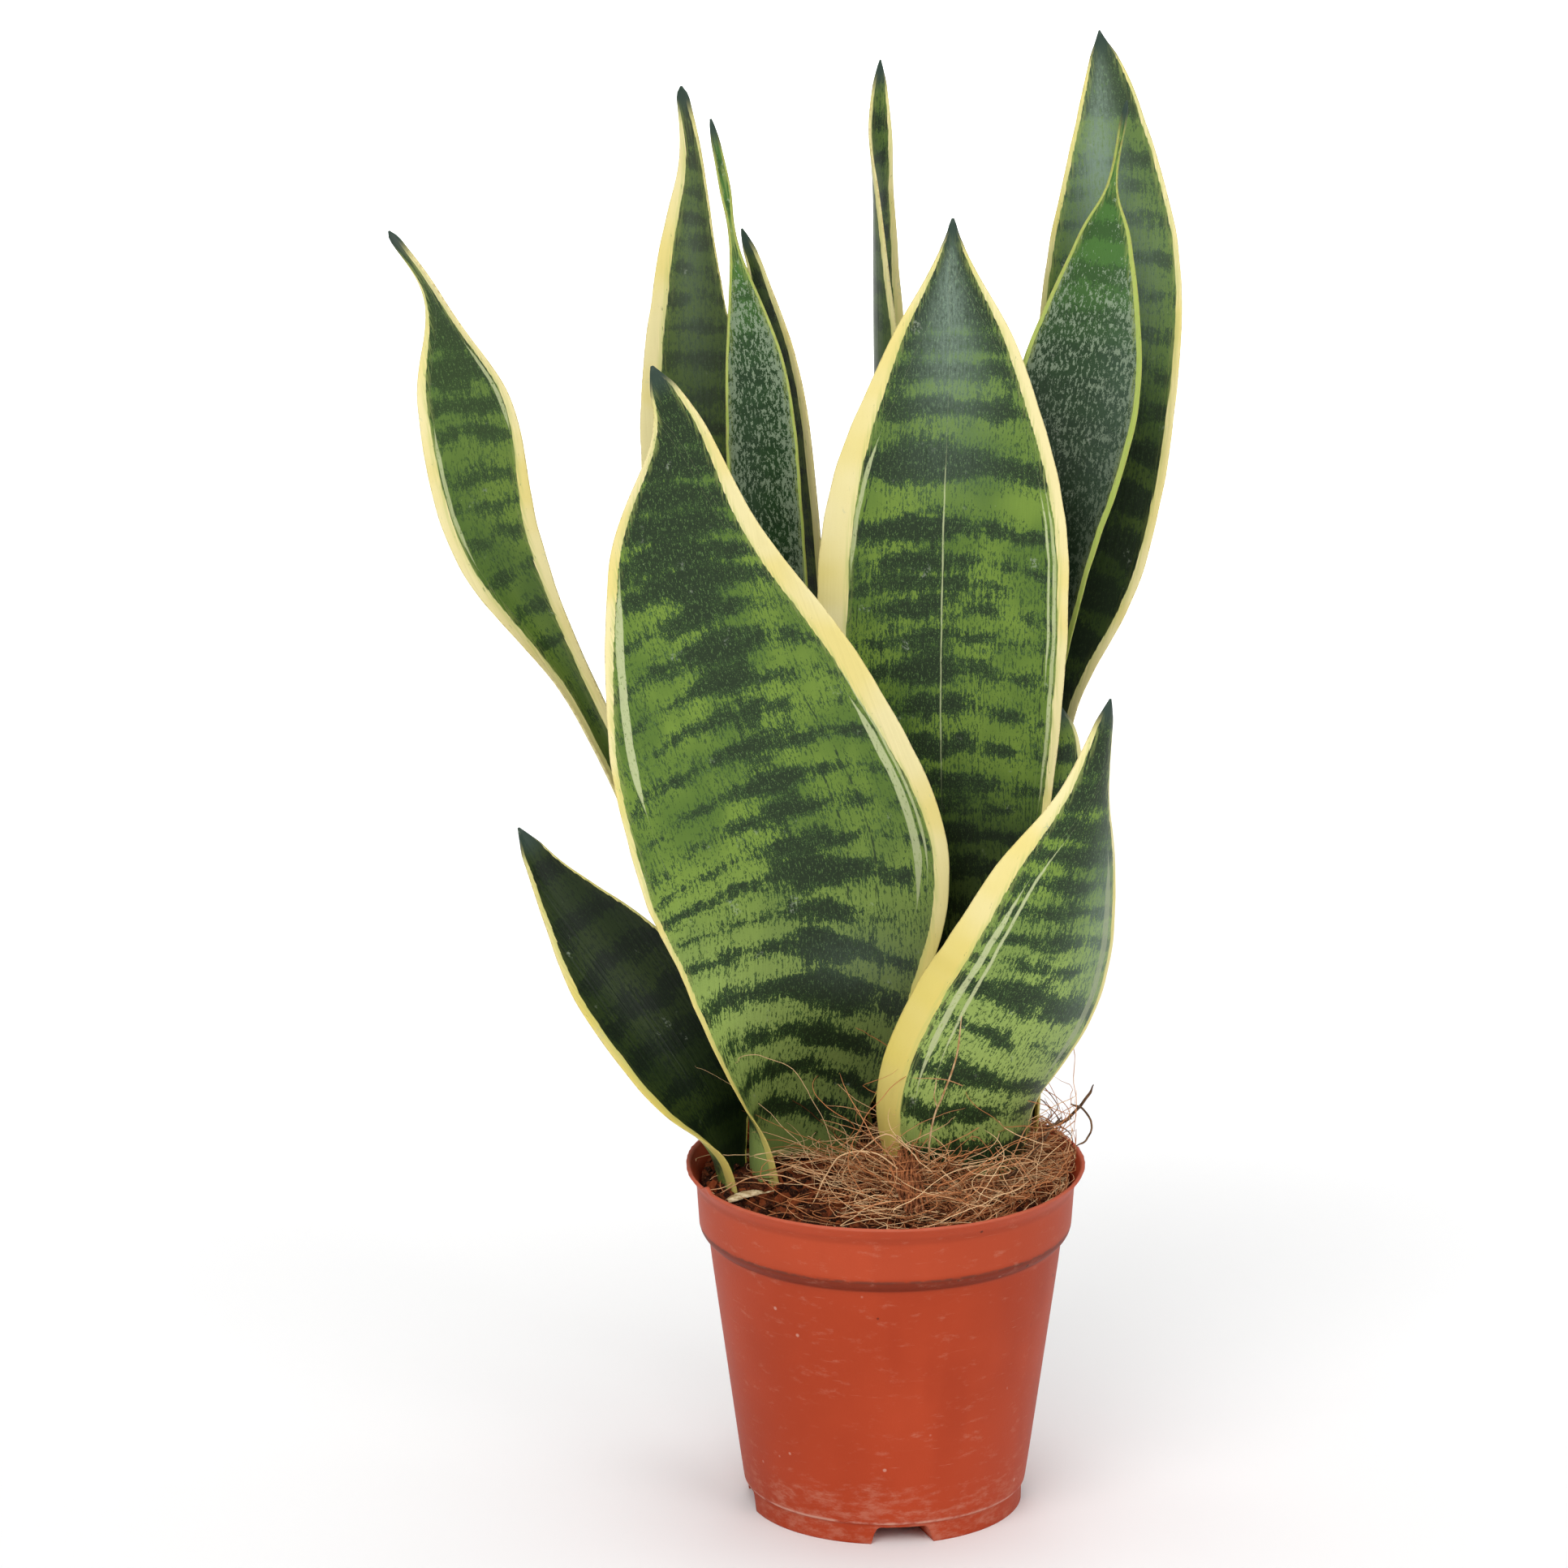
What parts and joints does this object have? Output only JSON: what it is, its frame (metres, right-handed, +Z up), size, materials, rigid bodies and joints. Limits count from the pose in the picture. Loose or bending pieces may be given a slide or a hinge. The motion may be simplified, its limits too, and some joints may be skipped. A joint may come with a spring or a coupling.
{
  "type": "potted snake plant",
  "caption": "Yellow-edged snake plant with broad upright sword leaves growing from peat and coconut fibre in a round terracotta-coloured plastic nursery pot.",
  "frame": {"origin": "centre of the pot's underside, on the surface that the pot stands on", "axes": "+Z up; -Y towards the plant's front, where the broad leaf and the pot's front notch are; +X to the right seen from the front"},
  "size_m": [0.2359, 0.12, 0.4482],
  "materials": {
    "pot_plastic": "satin",
    "peat": "matte",
    "coir": "matte",
    "leaf": "satin",
    "young_leaf": "satin",
    "rhizome": "matte",
    "dry_husk": "matte",
    "wood_scrap": "matte",
    "dark_root": "matte"
  },
  "bodies": {
    "root": {"pot": "pot_plastic", "soil": "peat", "coir_mat": "coir", "leaf_front_broad": "leaf", "leaf_centre_tall": "leaf", "leaf_front_small": "leaf", "leaf_left_low": "leaf", "leaf_far_left": "leaf", "leaf_rear_left_tall": "leaf", "leaf_young_left": "young_leaf", "leaf_cradle_left": "leaf", "leaf_rear_centre": "leaf", "leaf_rear_right_tall": "leaf", "leaf_young_right": "young_leaf", "leaf_right_low": "leaf", "rhizome_left": "rhizome", "rhizome_front": "rhizome", "rhizome_rear": "rhizome", "dried_sheath": "dry_husk", "husk_stalk": "wood_scrap", "twig_end": "wood_scrap", "root_twig": "dark_root", "fibre_tall": "coir"}
  },
  "joints": []
}
